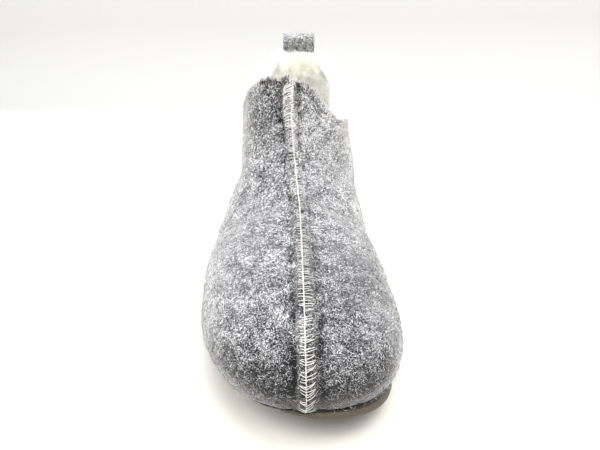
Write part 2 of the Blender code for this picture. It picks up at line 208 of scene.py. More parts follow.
def felt_finish(name):
    made, shader, place = new_material(name, 0.95)
    clumps = speckle(place, CLUMP_SIZE, 2.0, shift=CLUMP_SHIFT).step(*NOISE_SPAN)
    height = place.node("ShaderNodeSeparateXYZ", {}, {0: place}, 2)
    on_leg = (height + clumps * LEG_RAGGED).step(LEG_START, LEG_FULL)
    strokes = []
    for i, turn in enumerate(STROKES):
        shift = STROKE_SHIFT * i
        foot, leg = (speckle(place, size, 1.5, turn, STROKE_STRETCH, shift) for size in STROKE_SIZES)
        strokes.append(foot + (leg - foot) * on_leg)
    pale = strokes[0].larger(strokes[1]).larger(strokes[2])
    dark = strokes[3].larger(strokes[4]).larger(strokes[5])
    clouds = speckle(place, CLOUD_SIZE, 2.5).step(*CLOUD_SPAN)
    # the tone attribute: painted shade and painted light, besides the felt's own patches
    tone = place.node("ShaderNodeAttribute", {"attribute_name": "tone"}, output="Fac")
    depth = tone * TONE_PULL - clouds * CLOUD_PULL - clumps * CLUMP_PULL + PLAIN_DEPTH
    pale_share = (pale - depth).step(*PALE_LIMITS)
    dark_share = (dark + depth).step(*DARK_LIMITS)
    ground = dark_share.mix(FELT_MID, FELT_DARK)
    connect(shader, "Base Color", pale_share.mix(ground, FELT_PALE))
    bump(shader, pale + dark * DARK_RELIEF, FELT_RELIEF, 0.8)
    for which, value in FELT_SHEEN.items():
        shader.inputs[f"Sheen {which}"].default_value = value
    return made


grey_felt = felt_finish("wool_felt")
print("felt:", len(grey_felt.node_tree.nodes), "nodes")

# %% [markdown]
# ## Wool fibres, fleece and thread
# The loose fibres on the felt have the felt's two tones, the fleece is undyed and a little yellow in its
# hollows, and the thread is plain cream. A whiter copy of the fleece is painted light, for the lit rim and
# sides of the lining. Each keeps some unevenness, because one flat colour is what gives a model away. Light
# goes some way into a deep pile, so the fleeces also have some subsurface scattering.


# %% Other finishes
def uneven_finish(name, low, high, size, roughness, sheen, relief):
    """Two tones mixed by a noise of the given size, with a relief of the same noise."""
    made, shader, place = new_material(name, roughness)
    grain = speckle(place, size, 3.0)
    connect(shader, "Base Color", grain.step(*NOISE_SPAN).mix(low, high))
    bump(shader, grain, relief, 0.7)
    shader.inputs["Sheen Weight"].default_value = sheen
    shader.inputs["Sheen Roughness"].default_value = 0.5
    return made


MICRO = 0.02 * MM
FINISHES = {  # darker tone, lighter tone, size of the change, roughness, sheen, relief
    "pale_wool": ((0.38, 0.38, 0.38, 1), (0.68, 0.68, 0.675, 1), 2 * MM, 0.9, 0.7, MICRO),
    # dark fibres of the felt, and also the colour of painted shade at the needle holes and along the sole
    "dark_wool_and_shade": ((0.004, 0.004, 0.005, 1), (0.03, 0.03, 0.033, 1), 2 * MM, 0.9, 0.0, MICRO),
    "lining_fleece": ((0.90, 0.875, 0.73, 1), (0.955, 0.94, 0.85, 1), 5 * MM, 1.0, 0.5, 0.8 * MM),
    # painted light: a whiter copy of the lining's fleece, for the rolled rim and the lit sides
    "lit_edge_fleece": ((0.975, 0.97, 0.945, 1), (0.99, 0.985, 0.965, 1), 5 * MM, 1.0, 0.5, 0.8 * MM),
    "sewing_thread": ((0.66, 0.64, 0.60, 1), (0.90, 0.89, 0.85, 1), 0.5 * MM, 0.8, 0.3, 0.08 * MM),
}
finishes = {name: uneven_finish(name, *values) for name, values in FINISHES.items()}
pale_wool, dark_wool_and_shade, cream_fleece, lit_fleece, cream_thread = finishes.values()
PILE_SCATTER, PILE_DEPTH = 0.8, 5 * MM
for fleece in (cream_fleece, lit_fleece):
    fleece_sockets = fleece.node_tree.nodes["Principled BSDF"].inputs
    fleece_sockets["Subsurface Weight"].default_value = PILE_SCATTER
    fleece_sockets["Subsurface Radius"].default_value = (1, 1, 1)
    fleece_sockets["Subsurface Scale"].default_value = PILE_DEPTH
print("finishes:", list(finishes))

# %% [markdown]
# ## Rubber
# The sole's side is smooth taupe rubber with a faint bloom. Its underside has a fine lattice between the
# moulded grooves. The lattice is far too fine for faces, so it is relief: two folded diagonal coordinates,
# of which the smaller gives small pyramids, kept to faces that look down.

# %% Sole finish
RUBBER_LOW, RUBBER_HIGH = (0.068, 0.054, 0.042, 1), (0.09, 0.073, 0.058, 1)
RUBBER_GRAIN, GRAIN_DEPTH = 1.2 * MM, 0.06
LATTICE_PITCH, LATTICE_DEPTH = 2.6 * MM, 0.3  # both depths are shares of a millimetre
taupe_rubber, rubber_shader, on_sole = new_material("sole_rubber", 0.62)
grain = speckle(on_sole, RUBBER_GRAIN, 3.0)
connect(rubber_shader, "Base Color", grain.step(*NOISE_SPAN).mix(RUBBER_LOW, RUBBER_HIGH))
sole_x, sole_y = (on_sole.node("ShaderNodeSeparateXYZ", {}, {0: on_sole}, axis) for axis in (0, 1))
facing = on_sole.node("ShaderNodeTexCoord", output="Normal")
downwards = 0.0 - on_sole.node("ShaderNodeSeparateXYZ", {}, {0: facing}, 2)
both_ways = (sole_x + sole_y, sole_x - sole_y)
diagonals = [on_sole.maths("PINGPONG", across * (1 / LATTICE_PITCH), 0.5) for across in both_ways]
lattice = on_sole.maths("MINIMUM", *diagonals) * downwards.step(0.7, 0.9)
bump(rubber_shader, grain * GRAIN_DEPTH + lattice * LATTICE_DEPTH, 1 * MM, 0.7)
print("rubber:", len(taupe_rubber.node_tree.nodes), "nodes")

# %% [markdown]
# ## Copies of the solids
# A solid in the frame is loose triangles, so its copy is merged first. Joining the triangles in pairs gives
# back the four-sided faces that it was lofted from, and those subdivide into an even, smooth skin.

# %% Copy and refine a solid
MERGE_DISTANCE, PAIR_BEND, PAIR_SHAPE = 0.005 * MM, 50, 80  # triangles pair up to these angles, in degrees


def merged_copy(node):
    made = bmesh.new()
    made.from_mesh(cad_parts[node].data)
    bmesh.ops.remove_doubles(made, verts=made.verts, dist=MERGE_DISTANCE)
    bmesh.ops.join_triangles(
        made,
        faces=made.faces,
        angle_face_threshold=radians(PAIR_BEND),
        angle_shape_threshold=radians(PAIR_SHAPE),
    )
    made.normal_update()
    return made


def refined(made, levels, crease=0.0, crease_angle=60):
    """The bmesh as a smooth mesh: subdivided, with edges that bend sharply held by a crease."""
    held = made.edges.layers.float.new("crease_edge")
    for edge in made.edges:
        if edge.calc_face_angle(0.0) > radians(crease_angle):
            edge[held] = crease
    coarse = bpy.data.meshes.new("coarse")
    made.to_mesh(coarse)
    made.free()
    holder = bpy.data.objects.new("holder", coarse)
    bpy.context.scene.collection.objects.link(holder)
    subdivide = holder.modifiers.new("subdivide", "SUBSURF")
    subdivide.levels = subdivide.render_levels = levels
    result = bpy.data.meshes.new_from_object(holder.evaluated_get(bpy.context.evaluated_depsgraph_get()))
    bpy.data.objects.remove(holder)
    return result


print("copy helpers ready")


# %% Finish a piece
def new_piece(name, mesh, material, replaced=None):
    mesh.materials.clear()
    mesh.materials.append(material)
    mesh.shade_smooth()
    mesh.name = name
    obj = bpy.data.objects.new(name, mesh)
    bpy.context.scene.collection.objects.link(obj)
    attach(obj, "root")
    if replaced:
        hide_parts(replaced)
    mesh.calc_loop_triangles()
    print(f"{name}: {len(mesh.loop_triangles)} triangles")
    return obj


print("piece helper ready")


# %% Read and move the points of a mesh
def read(mesh, collection, name, width):
    values = np.empty(len(getattr(mesh, collection)) * width)
    getattr(mesh, collection).foreach_get(name, values)
    return values.reshape(-1, width)


def unevenness(points, size, seed):
    return np.array([noise.noise(Vector(point) / size + Vector((seed, 0, 0))) for point in points])


def lumps(points, rows):
    """How far each point rises, from rows of a lump's size, seed and height in millimetres."""
    return sum(unevenness(points, size * MM, seed) * height * MM for size, seed, height in rows)


def points_of(mesh):
    """(points, normals) of a mesh, as arrays."""
    return read(mesh, "vertices", "co", 3), read(mesh, "vertex_normals", "vector", 3)


def put_points(mesh, points):
    mesh.vertices.foreach_set("co", points.ravel())
    mesh.update()


print("point helpers ready")

# %% Tell the felt's inner wall from its outside
INSIDE = Vector((MIDDLE_X, TOE_Y + 190 * MM, 80 * MM))  # a place in the hollow of the leg
WALL_BEND = 60  # degrees: the felt's two faces meet its cut edges at more than this


def spread(start, limit):
    """Faces that can be reached from one face without crossing an edge that bends more than the limit."""
    found = {start}
    waiting = [start]
    while waiting:
        for edge in waiting.pop().edges:
            if edge.calc_face_angle(0.0) < radians(limit):
                fresh = [face for face in edge.link_faces if face not in found]
                found.update(fresh)
                waiting += fresh
    return found


def seen_from_inside(made):
    """Faces of the upper's inner wall."""
    made.faces.ensure_lookup_table()
    hit = BVHTree.FromBMesh(made).ray_cast(INSIDE, Vector((1, 0, 0)))[2]
    return spread(made.faces[hit], WALL_BEND)


print("inner wall is looked for from", [round(c / MM) for c in INSIDE], "mm")

# %% [markdown]
# ## The front seam
# The two edges of the felt meet down the front and are sewn over. The seam's crown is one column of points
# of the upper, so a walk up that column, from the sole to the collar, gives the path for valleys and thread.

# %% Walk up the seam
CROWN_HALF, CROWN_END = 0.9 * MM, 136 * MM  # half its width, and its end from the toe
shell = merged_copy("upper")
inner_wall = seen_from_inside(shell)
outer_points = {v for face in shell.faces if face not in inner_wall for v in face.verts}
crown = {v for v in outer_points if abs(v.co.x - seam_x(v.co.y)) < CROWN_HALF and from_toe(v.co.y) < CROWN_END}
walk = [min(crown, key=lambda v: (round(v.co.z / MM, 1), v.co.y))]  # the lowest, and of those the foremost
while True:
    ahead = [edge.other_vert(walk[-1]) for edge in walk[-1].link_edges]
    ahead = [v for v in ahead if v in crown and v not in walk]
    if not ahead:
        break
    walk.append(max(ahead, key=lambda v: (v.co - walk[-1].co).length))
seam_path = np.array([v.co[:] for v in walk])
print(f"seam: {len(walk)} points, from z {seam_path[0, 2] / MM:.1f} to {seam_path[-1, 2] / MM:.1f} mm")


# %% A finer path
PATH_STEP = 0.5 * MM


def resample(points):
    """The polyline through the points, smoothed and cut into even steps."""
    for _ in range(3):
        middles = (points[1:] + points[:-1]) / 2
        corners = (points[1:-1] * 6 + points[2:] + points[:-2]) / 8
        finer = np.empty((2 * len(points) - 1, 3))
        finer[0], finer[-1] = points[0], points[-1]
        finer[1::2] = middles
        finer[2:-1:2] = corners
        points = finer
    along = np.concatenate([[0.0], np.cumsum(np.linalg.norm(np.diff(points, axis=0), axis=1))])
    places = np.linspace(0.0, along[-1], int(along[-1] / PATH_STEP) + 1)
    return np.stack([np.interp(places, along, points[:, k]) for k in range(3)], axis=1)


seam_path = resample(seam_path)
SEAM_LENGTH = PATH_STEP * (len(seam_path) - 1)
seam_along = np.gradient(seam_path, axis=0)
seam_along /= np.linalg.norm(seam_along, axis=1, keepdims=True)
seam_side = np.cross(seam_along, (1.0, 0.0, 0.0))
seam_side = np.cross(seam_side, seam_along)
seam_side /= np.linalg.norm(seam_side, axis=1, keepdims=True)
print(f"seam length {SEAM_LENGTH / MM:.0f} mm, side of the first step {np.round(seam_side[0], 2)}")

# %% [markdown]
# ## The felt upper
# The upper is one thick felt wall, so the copy keeps both faces and both edges. Subdivision rounds the seam
# and the cut edges. The soft folds are listed, each a line on one side of the shoe with a depth and a
# width, because a fold follows the foot and not a noise. Valleys run along both sides of the seam, where the
# sewing draws the felt in. Tables beside them give the tone: painted shade in the valleys and between the
# seam's threads, painted shade low on the toe, where the felt is partly also darker, and soft round spots of
# painted shade and painted light, partly the felt's own clouds.

# %% Folds of the upper
FOLD_COLUMNS = ("side", "start_from_toe", "start_z", "end_from_toe", "end_z", "depth", "width")
FOLDS = (
    (-1, 126, 96, 170, 58, 1.1, 10),  # where the leg rises from the foot, outer side
    (1, 126, 94, 168, 54, 1.0, 10),  # and the same, big toe side
    (-1, 94, 66, 112, 38, 0.6, 6),  # flex of the vamp
    (1, 98, 66, 114, 40, 0.6, 6),
    (-1, 232, 92, 258, 78, 0.8, 8),  # above the heel
    (1, 232, 90, 258, 78, 0.8, 8),
    (-1, 40, 40, 74, 30, 0.5, 9),  # side of the toe box
    (1, 36, 42, 66, 32, 0.4, 9),
)
RIDGE_SHARE, RIDGE_AT = 0.45, 1.9  # the felt beside a fold is pushed up, this many widths away


def fold_moves(points):
    """How far each point sinks into the folds."""
    sink = np.zeros(len(points))
    side = np.sign(points[:, 0] - seam_x(points[:, 1]))
    view = np.stack([from_toe(points[:, 1]), points[:, 2]], axis=1) / MM
    for row in FOLDS:
        fold = dict(zip(FOLD_COLUMNS, row))
        start = np.array([fold["start_from_toe"], fold["start_z"]], float)
        reach = np.array([fold["end_from_toe"], fold["end_z"]], float) - start
        share = np.clip((view - start) @ reach / (reach @ reach), 0, 1)
        away = np.linalg.norm(view - start - share[:, None] * reach, axis=1) / fold["width"]
        trough = np.exp(-(away**2)) - RIDGE_SHARE * np.exp(-((away - RIDGE_AT) ** 2))
        sink += fold["depth"] * trough * (side == fold["side"])
    return sink * MM


print(len(FOLDS), "folds")

# %% Valleys beside the seam
VALLEY_SHARES = (0.0, 0.12, 0.3, 0.55, 0.8, 1.0)  # along the seam, from the sole to the collar
VALLEY_FROM_SEAM = {-1: (4.6, 4.6, 4.6, 4.6, 5.0, 5.6), 1: (5.4, 5.6, 5.4, 4.8, 4.6, 5.6)}  # mm
VALLEY_DEPTHS = {-1: (1.0, 2.0, 1.2, 0.5, 0.8, 1.0), 1: (0.8, 1.3, 0.8, 0.5, 0.7, 1.6)}  # mm
VALLEY_WIDTH = 1.9 * MM
SEAM_REACH, SEAM_FADE = 16 * MM, 4 * MM  # how far from the seam its valleys and tones go


def ease(share):
    share = np.clip(share, 0, 1)
    return share * share * (3 - 2 * share)


def tree_of(points):
    tree = KDTree(len(points))
    for i, place in enumerate(points):
        tree.insert(place, i)
    tree.balance()
    return tree


def beside_seam(points, values, middles, width):
    """A value for each point beside the seam, from tables of values and places along it for each side."""
    tree = tree_of(seam_path)
    found = [tree.find(point) for point in points]
    near = np.array([index for _, index, _ in found])
    close = ease((SEAM_REACH - np.array([distance for _, _, distance in found])) / SEAM_FADE)
    aside = np.einsum("ij,ij->i", points - seam_path[near], seam_side[near])
    total = np.zeros(len(points))
    for side, along in values.items():
        strength = np.interp(near / len(seam_path), VALLEY_SHARES, along)
        middle = np.interp(near / len(seam_path), VALLEY_SHARES, middles[side]) * MM
        total += close * strength * np.exp(-(((side * aside - middle) / width) ** 2))
    return total


print(f"valleys reach {SEAM_REACH / MM:.0f} mm from the seam")

# %% Tones of the felt
# painted shade: the felt is painted darker, in patches, in the valleys beside the seam where shade falls
VALLEY_SHADE = {-1: (0.9, 1.0, 0.5, 0.2, 0.4, 0.4), 1: (0.5, 0.45, 0.22, 0.25, 0.4, 1.0)}  # 1 is much darker
VALLEY_SHADE_WIDTH = 1.2 * MM
CROWN_FROM_SEAM = {-1: (0.8,) * 6, 1: (2.2, 2.2, 2.0, 0.8, 0.8, 0.8)}  # mm
# painted shade on the felt between the seam's threads, a touch paler at the collar
CROWN_SHADE = {-1: (0.0, 0.1, 0.25, 0.15, 0.0, -0.05), 1: (0.0, 0.1, 0.25, 0.15, 0.0, -0.05)}
# darker spots are painted shade and paler spots painted light, for light that falls unevenly on the felt,
# partly the felt's own clouds
TONE_SHADE_AND_LIGHT_SPOTS = (  # side, from the toe, height, size, how much darker
    (1, 22, 50, 26, 0.08),
    (-1, 3, 30, 15, 0.15),
    (1, 3, 28, 14, 0.1),
    (1, 130, 100, 22, -0.16),
    (-1, 128, 118, 16, 0.12),
    (1, 52, 36, 18, 0.2),
    (1, 120, 60, 16, -0.12),
    (-1, 120, 60, 16, -0.08),
    (1, 192, 95, 28, -0.25),
    (-1, 192, 95, 28, -0.15),
)
LOW_TOE_SHADE_AND_TONE, LOW_TOE_Z, LOW_TOE_END = 0.56, 40 * MM, 90 * MM  # painted shade low on the toe, where the felt is partly also darker
LOW_TOE_FADE_Z, LOW_TOE_FADE = 26 * MM, 50 * MM
TONE_PATCH, PATCH_SEED = 4 * MM, 9
PATCH_MIDDLE, PATCH_SPREAD, PATCH_LEAST = 0.55, 1.5, 0.1


def tone_of(points):
    """How much darker the felt is painted at each point, painted shade and painted light included: 0 is plain,
    1 is darkest and -1 is palest.
    """
    patches = PATCH_MIDDLE + PATCH_SPREAD * unevenness(points, TONE_PATCH, PATCH_SEED)
    patches = np.clip(patches, PATCH_LEAST, 1)
    low = ease((LOW_TOE_Z - points[:, 2]) / LOW_TOE_FADE_Z)
    low *= ease((LOW_TOE_END - from_toe(points[:, 1])) / LOW_TOE_FADE)
    tone = beside_seam(points, VALLEY_SHADE, VALLEY_FROM_SEAM, VALLEY_SHADE_WIDTH) * patches
    tone += beside_seam(points, CROWN_SHADE, CROWN_FROM_SEAM, VALLEY_WIDTH) + LOW_TOE_SHADE_AND_TONE * low
    side = np.sign(points[:, 0] - seam_x(points[:, 1]))
    for which, place, height, size, amount in TONE_SHADE_AND_LIGHT_SPOTS:
        away = np.hypot(from_toe(points[:, 1]) / MM - place, points[:, 2] / MM - height) / size
        tone += amount * np.exp(-(away**2)) * (side == which)
    return np.clip(tone, -1, 1)


print(len(TONE_SHADE_AND_LIGHT_SPOTS), "tone spots")

# %% Shape the upper
FELT_LUMPS = ((22, 3, 0.35), (6, 7, 0.16))  # size, seed and depth in mm
for face in shell.faces:
    face.material_index = 1 if face in inner_wall else 0
felt_mesh = refined(shell, 2, crease=0.45)
side_of_face = read(felt_mesh, "polygons", "material_index", 1)[:, 0]
outside = np.zeros(len(felt_mesh.vertices), bool)
for polygon in felt_mesh.polygons:
    if polygon.material_index == 0:
        outside[list(polygon.vertices)] = True
points, normals = points_of(felt_mesh)
sink = fold_moves(points) + beside_seam(points, VALLEY_DEPTHS, VALLEY_FROM_SEAM, VALLEY_WIDTH) * MM
felt_mesh.attributes.new("tone", "FLOAT", "POINT").data.foreach_set("value", tone_of(points))
sink += lumps(points, FELT_LUMPS)
put_points(felt_mesh, points - normals * (sink * outside)[:, None])
print(f"deepest fold {sink[outside].max() / MM:.2f} mm, highest ridge {-sink[outside].min() / MM:.2f} mm")


# %% Keep the felt's outer faces for what is laid on them
def skin_of(mesh):
    return BVHTree.FromPolygons([v.co for v in mesh.vertices], [p.vertices for p in mesh.polygons])


new_piece("felt_upper", felt_mesh, grey_felt, "upper")
felt_skin = skin_of(felt_mesh)
outer_faces = side_of_face == 0
print(f"{outer_faces.mean():.0%} of the faces are outside or on an edge")

# %% [markdown]
# ## The nap
# Single wool fibres stand off the felt and blur its outline. A hair system would be lost in the export, so
# each fibre is a closed spindle of six triangles, made once with mirrored cones and stamped many thousand
# times as one mesh. Most of them lie nearly flat and curl sideways, and some stand up.


# %% A fibre and a way to stamp it
def fibre_shape():
    """A spindle from 0 to 1 along X whose middle stands 1 up in Z, with three sides."""
    made = bmesh.new()
    bmesh.ops.create_cone(made, cap_ends=False, segments=3, radius1=0.5, radius2=0.0, depth=0.5)
    bmesh.ops.translate(made, verts=made.verts, vec=(0, 0, 0.25))
    bmesh.ops.mirror(made, geom=made.verts[:] + made.edges[:] + made.faces[:], axis="Z", merge_dist=0.001)
    bmesh.ops.rotate(made, verts=made.verts, matrix=Matrix.Rotation(radians(90), 3, "Y"))
    bmesh.ops.translate(made, verts=made.verts, vec=(0.5, 0, 0))
    for v in made.verts:
        if abs(v.co.x - 0.5) < 0.1:
            v.co.z = v.co.z * 0.3 + 1.0
    bmesh.ops.recalc_face_normals(made, faces=made.faces)
    return made


def stamp(name, shape, places):
    """One mesh of many copies of a small shape, each with its own 3 by 4 matrix."""
    shape.verts.index_update()
    corners = np.array([v.co[:] for v in shape.verts])
    faces = np.array([[v.index for v in face.verts] for face in shape.faces])
    copies = np.einsum("nij,vj->nvi", places[:, :, :3], corners) + places[:, None, :, 3]
    numbered = faces[None] + (np.arange(len(places)) * len(corners))[:, None, None]
    mesh = bpy.data.meshes.new(name)
    mesh.vertices.add(copies.shape[0] * copies.shape[1])
    mesh.vertices.foreach_set("co", copies.ravel())
    mesh.loops.add(numbered.size)
    mesh.loops.foreach_set("vertex_index", numbered.ravel().astype(np.int32))
    mesh.polygons.add(numbered.shape[0] * numbered.shape[1])
    mesh.polygons.foreach_set("loop_start", np.arange(0, numbered.size, faces.shape[1], dtype=np.int32))
    mesh.update(calc_edges=True)
    return mesh


def scatter(mesh, count, random, wanted=None):
    """(points, normals) spread evenly over the wanted faces of a mesh, or over all of them."""
    mesh.calc_loop_triangles()
    triangles = read(mesh, "loop_triangles", "vertices", 3).astype(int)
    owner = read(mesh, "loop_triangles", "polygon_index", 1).astype(int)[:, 0]
    if wanted is not None:
        triangles = triangles[wanted[owner]]
    at = read(mesh, "vertices", "co", 3)[triangles]
    facing = np.cross(at[:, 1] - at[:, 0], at[:, 2] - at[:, 0])
    size = np.linalg.norm(facing, axis=1)
    chosen = random.choice(len(size), count, p=size / size.sum())
    u, v = random.random((2, count))
    turned = u + v > 1
    u[turned], v[turned] = 1 - u[turned], 1 - v[turned]
    first, second, third = at[chosen].transpose(1, 0, 2)
    spots = first + u[:, None] * (second - first) + v[:, None] * (third - first)
    return spots, facing[chosen] / size[chosen, None]


ROOT_DEPTH = 0.04 * MM


def lay_fibres(spots, normals, random, length, width, tilt, curl):
    """A matrix for each fibre: ranges give its length and width in mm, tilt in degrees and sideways curl."""
    count = len(spots)
    aim = np.cross(normals, random.normal(size=(count, 3)))
    aim /= np.linalg.norm(aim, axis=1, keepdims=True)
    lean = np.radians(random.uniform(*tilt, count))[:, None]
    along = aim * np.cos(lean) + normals * np.sin(lean)
    across = np.cross(normals, aim)
    rise = np.cross(along, across)
    roll = random.uniform(-np.pi / 2, np.pi / 2, count)[:, None]
    bend = rise * np.cos(roll) + across * np.sin(roll)
    thick = np.cross(bend, along)
    spans = random.uniform(*length, count)[:, None] * MM
    wide = random.uniform(*width, count)[:, None] * MM
    bows = random.uniform(*curl, count)[:, None] * spans
    root = spots - normals * ROOT_DEPTH
    return np.stack([along * spans, thick * wide, bend * bows, root], axis=2)


def fibre_piece(name, places, material):
    new_piece(name, stamp(name, fibre, places), material)


fibre = fibre_shape()
print("fibre:", len(fibre.verts), "points,", len(fibre.faces), "faces")

# %% Fibres on the felt
PALE_LOSS = 0.5  # share of the pale fibres that is missing where the felt's tone, painted shade included, is darkest
NAP = {  # wool, seed, count, and ranges of length, width, tilt and curl
    "pale_nap": (pale_wool, 11, 28000, (1.2, 3.0), (0.08, 0.13), (3, 42), (0.05, 0.3)),
    "dark_nap": (dark_wool_and_shade, 12, 30000, (0.8, 2.2), (0.18, 0.32), (2.5, 5), (0.0, 0.03)),
}
for name, (wool, seed, count, length, width, tilt, curl) in NAP.items():
    random = np.random.default_rng(seed)
    spots, facing = scatter(felt_mesh, count, random, outer_faces)
    places = lay_fibres(spots, facing, random, length, width, tilt, curl)
    if wool is pale_wool:
        places = places[random.random(count) > PALE_LOSS * tone_of(spots)]
    fibre_piece(name, places, wool)

# %% [markdown]
# ## The fleece lining
# The boot is lined with cream fleece, a few millimetres of curly pile that fills the collar. The lining
# starts as the felt's inner wall, set off by a hair, and gets its thickness inwards. Lumps make the pile's
# curls, and fibres on top of them give it its soft edge. It gives way to the pull loop's inner end. The
# pile keeps its cream at the back of the heel, and towards both sides more of it is a whiter copy of the
# fleece: painted light, where more light falls on the lining.

# %% Lining
LINING_GAP, LINING_THICKNESS = 0.4 * MM, 4.2 * MM
LINING_FOOT = 0.5 * MM  # the lining stops this far above the insole
RING_SLACK = 0.02 * MM
insole_points = read(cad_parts["insole"].data, "vertices", "co", 3)
insole_rings = np.unique(np.round(insole_points[:, 1], 5))
insole_tops = [insole_points[np.abs(insole_points[:, 1] - y) < RING_SLACK, 2].max() for y in insole_rings]


def lining_foot(point):
    return np.interp(point.y, insole_rings, insole_tops) + LINING_FOOT


lining = merged_copy("upper")
wall = seen_from_inside(lining)
bmesh.ops.delete(lining, geom=[face for face in lining.faces if face not in wall], context="FACES")
low_faces = [face for face in lining.faces if all(v.co.z < lining_foot(v.co) for v in face.verts)]
bmesh.ops.delete(lining, geom=low_faces, context="FACES")
for v in lining.verts:
    v.co.z = max(v.co.z, lining_foot(v.co))
lining.normal_update()
for v in lining.verts:
    v.co += v.normal * LINING_GAP
bmesh.ops.solidify(lining, geom=lining.faces[:], thickness=-LINING_THICKNESS)
bmesh.ops.recalc_face_normals(lining, faces=lining.faces)
SORT_AXIS = Vector((1.0, 3.1, 7.3))  # solidify leaves its own order each run, and the pile is scattered by it
lining.verts.sort(key=lambda v: v.co @ SORT_AXIS)
lining.edges.sort(key=lambda edge: (edge.verts[0].co + edge.verts[1].co) @ SORT_AXIS)
lining.faces.sort(key=lambda face: face.calc_center_median() @ SORT_AXIS)
lining_mesh = refined(lining, 2, crease=0.2)
print(f"lining: {len(lining_mesh.vertices)} points")

# %% Curls of the lining
LINING_LUMPS = ((4.5, 21, 0.6), (2.2, 22, 0.35))  # size, seed and height in mm
STUCK, FREE_FADE = 1.2 * MM, 2 * MM  # pile this near the felt doesn't curl
LEG_FOOT, LEG_FRONT = COLLAR_BACK - 21 * MM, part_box("pull_loop")[0][1] - 8 * MM
LEG_HALF, LEG_HALF_FADE, LEG_FADE = 22 * MM, 9 * MM, 4 * MM
LEG_ROOM = 3.2 * MM  # how far the lining gives way to the loop's inner end
points, normals = points_of(lining_mesh)
from_felt = np.array([felt_skin.find_nearest(point)[3] for point in points])
free = np.clip((from_felt - STUCK) / FREE_FADE, 0, 1)
points += normals * (free * lumps(points, LINING_LUMPS))[:, None]
beside = ease((LEG_HALF - np.abs(points[:, 0] - LOOP_X)) / LEG_HALF_FADE)
above = np.clip((points[:, 2] - LEG_FOOT) / LEG_FADE, 0, 1)
behind = np.clip((points[:, 1] - LEG_FRONT) / LEG_FADE, 0, 1)
points[:, 1] -= LEG_ROOM * beside * above * behind
put_points(lining_mesh, points)
new_piece("fleece_lining", lining_mesh, cream_fleece)

# %% Pile of the lining
PILE_COUNT, PILE_FROM_TOE = 33000, 110 * MM
PILE_FIBRES = (2.0, 4.5), (0.2, 0.45), (10, 70), (0.1, 0.4)  # ranges of length and width in mm, tilt and curl
YELLOW_HALF, YELLOW_FADE = 4 * MM, 14 * MM
random = np.random.default_rng(31)
free_face = np.array([free[list(p.vertices)].mean() > 0.5 for p in lining_mesh.polygons])
seen_face = np.array([from_toe(p.center.y) > PILE_FROM_TOE for p in lining_mesh.polygons])
spots, facing = scatter(lining_mesh, PILE_COUNT, random, free_face & seen_face)
places = lay_fibres(spots, facing, random, *PILE_FIBRES)
# painted light: towards both sides more of the pile fibres get the whiter fleece
bright = random.random(len(spots)) < ease((np.abs(spots[:, 0] - LOOP_X) - YELLOW_HALF) / YELLOW_FADE)
fibre_piece("fleece_pile", places[~bright], cream_fleece)
fibre_piece("lit_pile", places[bright], lit_fleece)

# %% [markdown]
# ## Sewing thread
# The seam is oversewn: a bright line of crossed threads along the crown, and short threads that reach from
# it over the edge of the felt on both sides. Threads are curves with a round bevel, laid on the felt point by
# point, and then turned into one mesh. Low on the toe the bright line is thin and sinks into the felt.


# %% Lay thread on the felt
def tubes(lines, radii, roundness=1):
    """One mesh of round tubes along the lines, each with its own radius or a radius for each point."""
    curve = bpy.data.curves.new("tubes", "CURVE")
    curve.dimensions = "3D"
    curve.bevel_depth = 1.0
    curve.bevel_resolution = roundness
    curve.use_fill_caps = True
    for line, radius in zip(lines, radii):
        spline = curve.splines.new("POLY")
        spline.points.add(len(line) - 1)
        spline.points.foreach_set("co", np.concatenate([line, np.ones((len(line), 1))], axis=1).ravel())
        spline.points.foreach_set("radius", np.full(len(line), radius))
    holder = bpy.data.objects.new("holder", curve)
    bpy.context.scene.collection.objects.link(holder)
    mesh = bpy.data.meshes.new_from_object(holder.evaluated_get(bpy.context.evaluated_depsgraph_get()))
    bpy.data.objects.remove(holder)
    return mesh


def thread_piece(name, lines, radii):
    new_piece(name, tubes(lines, radii), cream_thread)


def on_felt(point, lift):
    """The nearest place on the felt, lifted off it."""
    spot, facing, _, _ = felt_skin.find_nearest(point)
    return np.array(spot + facing * lift)


print("thread helpers ready")

# %% Rungs of thread on both sides of the seam
LADDER_SHARES = (0.0, 0.1, 0.3, 0.5, 0.72, 0.88, 1.0)  # along the seam, from the sole to the collar
LADDER_REACH = {-1: (2.2, 2.5, 2.4, 2.4, 2.6, 5.0, 7.0), 1: (4.2, 4.7, 4.4, 2.8, 2.6, 1.6, 0.9)}  # mm
LADDER_SHIFT = (0.0, 0.0, 0.0, 0.0, 0.0, 0.8, 2.6)  # mm to the big toe side
LADDER_SLANT = {-1: (0.5, 0.3, 0.1, 0.1, 0.1, -0.3, -0.5), 1: (0.5, 0.4, 0.15, 0.1, 0.1, 0.3, 0.3)}
LADDER_PITCH = (1.15, 1.15, 1.15, 1.15, 1.1, 0.8, 0.75)  # mm
LADDER_RADIUS = (0.11, 0.11, 0.10, 0.09, 0.10, 0.13, 0.14)  # mm
MISSED = 0.16  # share of the threads that have worn away
LADDER_POINTS = 6
STEP_SPREAD, REACH_SPREAD, SLANT_SPREAD, RADIUS_SPREAD = (0.85, 1.15), (0.7, 1.2), (0.2, 1.8), (0.8, 1.2)
RUNG_DIP, RUNG_HOLD = 1.6, 6  # a rung's end dips into the felt, and how late it does
LADDER_START, LADDER_END = 1.0 * MM, SEAM_LENGTH - 0.5 * MM
GAP_PARTS, GAP_LIFT = (0.45, 1.12), 0.05 * MM  # ends of a needle hole's dark mark, partly painted shade, as shares of a rung
random = np.random.default_rng(41)
rungs, rung_radii, gaps = [], [], []
sewn = LADDER_START
